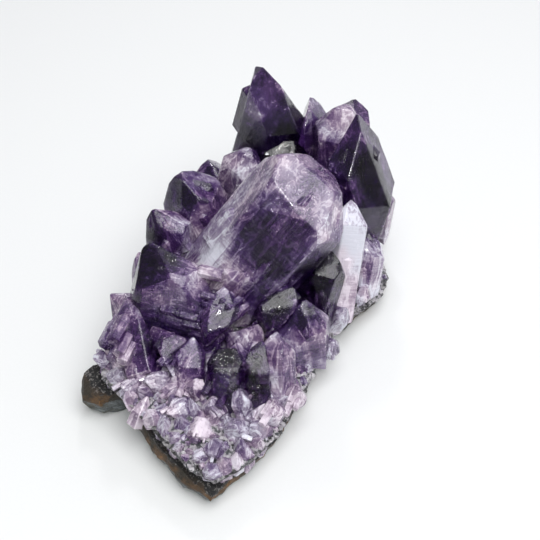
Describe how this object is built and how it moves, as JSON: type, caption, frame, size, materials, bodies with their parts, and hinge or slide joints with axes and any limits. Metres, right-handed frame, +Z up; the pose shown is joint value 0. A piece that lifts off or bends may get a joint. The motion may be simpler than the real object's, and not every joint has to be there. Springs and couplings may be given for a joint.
{
  "type": "amethyst cluster",
  "caption": "Cluster of purple quartz crystals standing on a granular quartz bed over a slab of brown host rock, with a flat underside to rest on.",
  "frame": {"origin": "under the middle of the cluster's box, on the plane of the rock's flat underside", "axes": "+Z up; +Y along the cluster's long side, towards the end with the tall points; +X across it"},
  "size_m": [0.087, 0.1468, 0.078],
  "materials": {
    "host_rock": "rough broken agate and iron-stained rock",
    "quartz_bed": "sugary granular quartz",
    "deep_amethyst": "glassy crystal faces, translucent, nearly black where thick",
    "amethyst": "glassy to frosted crystal faces, translucent purple",
    "lilac_quartz": "frosted translucent lilac quartz",
    "clear_points": "cloudy to clear pale quartz"
  },
  "bodies": {
    "root": {"host_rock": "host_rock", "quartz_bed": "quartz_bed", "broad_crystal": "amethyst", "summit_point": "deep_amethyst", "rough_tower": "amethyst", "glass_tower": "deep_amethyst", "left_prow": "deep_amethyst", "dusty_point": "lilac_quartz", "dark_point": "deep_amethyst", "left_upper": "amethyst", "left_rough": "amethyst", "cloudy_prism": "clear_points", "companion": "amethyst", "broken_tower": "deep_amethyst", "pink_blade": "lilac_quartz", "window_crystal": "amethyst", "broken_stub": "lilac_quartz", "under_broad": "amethyst", "cavity_point": "deep_amethyst", "shaded_point": "deep_amethyst", "left_low": "amethyst", "recess_point": "amethyst", "prow_foot": "amethyst", "deep_point": "deep_amethyst", "wine_point": "deep_amethyst", "right_lilac": "lilac_quartz", "back_middle": "amethyst", "back_left": "amethyst", "back_low": "lilac_quartz", "rear_leaner": "lilac_quartz", "left_back": "amethyst", "left_middle": "lilac_quartz", "left_notch": "lilac_quartz", "left_skirt": "amethyst", "left_corner": "lilac_quartz", "edge_point_01": "clear_points", "edge_point_02": "clear_points", "edge_point_03": "clear_points", "edge_point_04": "clear_points", "edge_point_05": "clear_points", "edge_point_06": "clear_points", "edge_point_07": "clear_points", "edge_point_08": "clear_points", "edge_point_09": "clear_points", "edge_point_10": "clear_points", "edge_point_11": "clear_points", "edge_point_12": "clear_points", "edge_point_13": "clear_points", "edge_point_14": "clear_points", "edge_point_15": "clear_points", "edge_point_16": "clear_points", "edge_point_17": "clear_points", "edge_point_18": "clear_points", "edge_point_19": "clear_points", "edge_point_20": "clear_points"}
  },
  "joints": []
}
